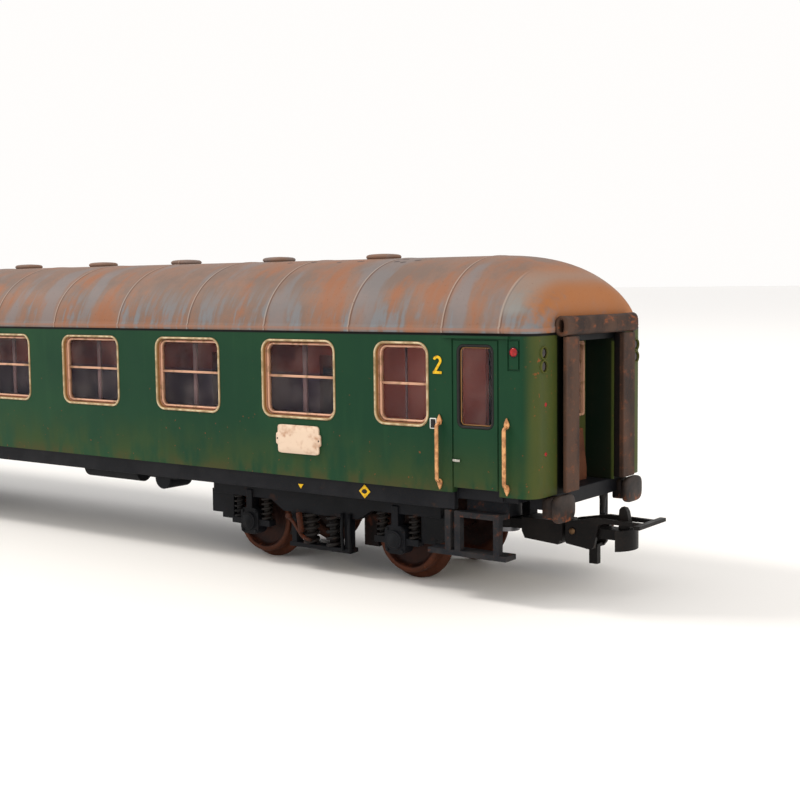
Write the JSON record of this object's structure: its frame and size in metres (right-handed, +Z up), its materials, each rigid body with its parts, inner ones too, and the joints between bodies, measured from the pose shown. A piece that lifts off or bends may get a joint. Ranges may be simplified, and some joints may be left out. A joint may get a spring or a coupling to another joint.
{
  "type": "model railway passenger coach",
  "caption": "Scale model of a bogie express coach: hollow body with windows, domed roof, gangways, sprung-look bogies, turning wheels and loop couplers.",
  "frame": {"origin": "under the middle of the coach, at the level of the wheel flanges' lowest points", "axes": "+X along the coach to its front end, +Y to its left side, +Z up"},
  "size_m": [0.3098, 0.0346, 0.0484],
  "materials": {
    "green_body": "satin, weathered",
    "green_door": "satin, weathered",
    "roof_paint": "matte, rusty",
    "clear": "clear",
    "frame_gold": "satin metallic print",
    "seal_black": "matte",
    "gangway_rubber": "matte, dusty",
    "bridge_brown": "matte, rusty",
    "interior_brown": "matte",
    "weight_steel": "rolled",
    "frame_black": "matte",
    "step_grey": "matte, rusty",
    "rail_gold": "satin",
    "handle_silver": "satin",
    "board_cream": "satin",
    "lamp_red": "gloss",
    "screw_steel": "bright",
    "bogie_black": "matte, rusty",
    "brake_rust": "matte, rusty",
    "wheel_metal": "weathered",
    "coupler_black": "matte"
  },
  "bodies": {
    "coach": {"body_shell": "green_body", "roof": "roof_paint", "roof_vents": "roof_paint", "glazing_left": "clear", "glazing_right": "clear", "window_frames_left": "frame_gold", "window_frames_right": "frame_gold", "door_seals": "seal_black", "end_door_front": "green_door", "end_door_rear": "green_door", "end_panes": "clear", "end_pane_frames": "frame_gold", "bridge_plates": "bridge_brown", "gangway_tube_front": "gangway_rubber", "gangway_tube_rear": "gangway_rubber", "gangway_pillars_front": "gangway_rubber", "gangway_pillars_rear": "gangway_rubber", "interior": "interior_brown", "ballast_weight": "weight_steel", "underframe": "frame_black", "battery_boxes": "frame_black", "air_tanks": "frame_black", "steps_front": "step_grey", "steps_rear": "step_grey", "handrails": "rail_gold", "door_handles": "handle_silver", "destination_boards": "board_cream", "lamps": "lamp_red", "buffers_front": "coupler_black", "buffers_rear": "coupler_black", "hoses": "seal_black", "bogie_pin_front": "screw_steel", "bogie_pin_rear": "screw_steel", "coupler_screws": "screw_steel"},
    "bogie_front": {"bogie_frame_front": "bogie_black", "bogie_springs_front": "bogie_black", "bogie_brakes_front": "brake_rust"},
    "bogie_rear": {"bogie_frame_rear": "bogie_black", "bogie_springs_rear": "bogie_black", "bogie_brakes_rear": "brake_rust"},
    "wheels_1": {"wheelset_1": "wheel_metal"},
    "wheels_2": {"wheelset_2": "wheel_metal"},
    "wheels_3": {"wheelset_3": "wheel_metal"},
    "wheels_4": {"wheelset_4": "wheel_metal"},
    "swing_front": {"coupler_front": "coupler_black"},
    "loop_front": {"coupler_loop_front": "coupler_black"},
    "swing_rear": {"coupler_rear": "coupler_black"},
    "loop_rear": {"coupler_loop_rear": "coupler_black"}
  },
  "joints": [
    {"name": "bogie_front_swivel", "type": "hinge", "parent": "coach", "child": "bogie_front", "pos_m": [0.1061, 0, 0.0104], "axis": [0, 0, 1], "range_deg": [-12, 12]},
    {"name": "bogie_rear_swivel", "type": "hinge", "parent": "coach", "child": "bogie_rear", "pos_m": [-0.1061, 0, 0.0104], "axis": [0, 0, 1], "range_deg": [-12, 12]},
    {"name": "wheelset_1_spin", "type": "hinge", "parent": "bogie_front", "child": "wheels_1", "pos_m": [0.12045, 0, 0.0066], "axis": [0, 1, 0], "continuous": true},
    {"name": "wheelset_2_spin", "type": "hinge", "parent": "bogie_front", "child": "wheels_2", "pos_m": [0.09175, 0, 0.0066], "axis": [0, 1, 0], "continuous": true},
    {"name": "wheelset_3_spin", "type": "hinge", "parent": "bogie_rear", "child": "wheels_3", "pos_m": [-0.09175, 0, 0.0066], "axis": [0, 1, 0], "continuous": true},
    {"name": "wheelset_4_spin", "type": "hinge", "parent": "bogie_rear", "child": "wheels_4", "pos_m": [-0.12045, 0, 0.0066], "axis": [0, 1, 0], "continuous": true},
    {"name": "coupler_front_swing", "type": "hinge", "parent": "coach", "child": "swing_front", "pos_m": [0.1314, 0, 0.0086], "axis": [0, 0, 1], "range_deg": [-12, 12]},
    {"name": "loop_front_lift", "type": "hinge", "parent": "swing_front", "child": "loop_front", "pos_m": [0.1435, 0, 0.0085], "axis": [0, -1, 0], "range_deg": [0, 14]},
    {"name": "coupler_rear_swing", "type": "hinge", "parent": "coach", "child": "swing_rear", "pos_m": [-0.1314, 0, 0.0086], "axis": [0, 0, 1], "range_deg": [-12, 12]},
    {"name": "loop_rear_lift", "type": "hinge", "parent": "swing_rear", "child": "loop_rear", "pos_m": [-0.1435, 0, 0.0085], "axis": [0, 1, 0], "range_deg": [0, 14]}
  ]
}
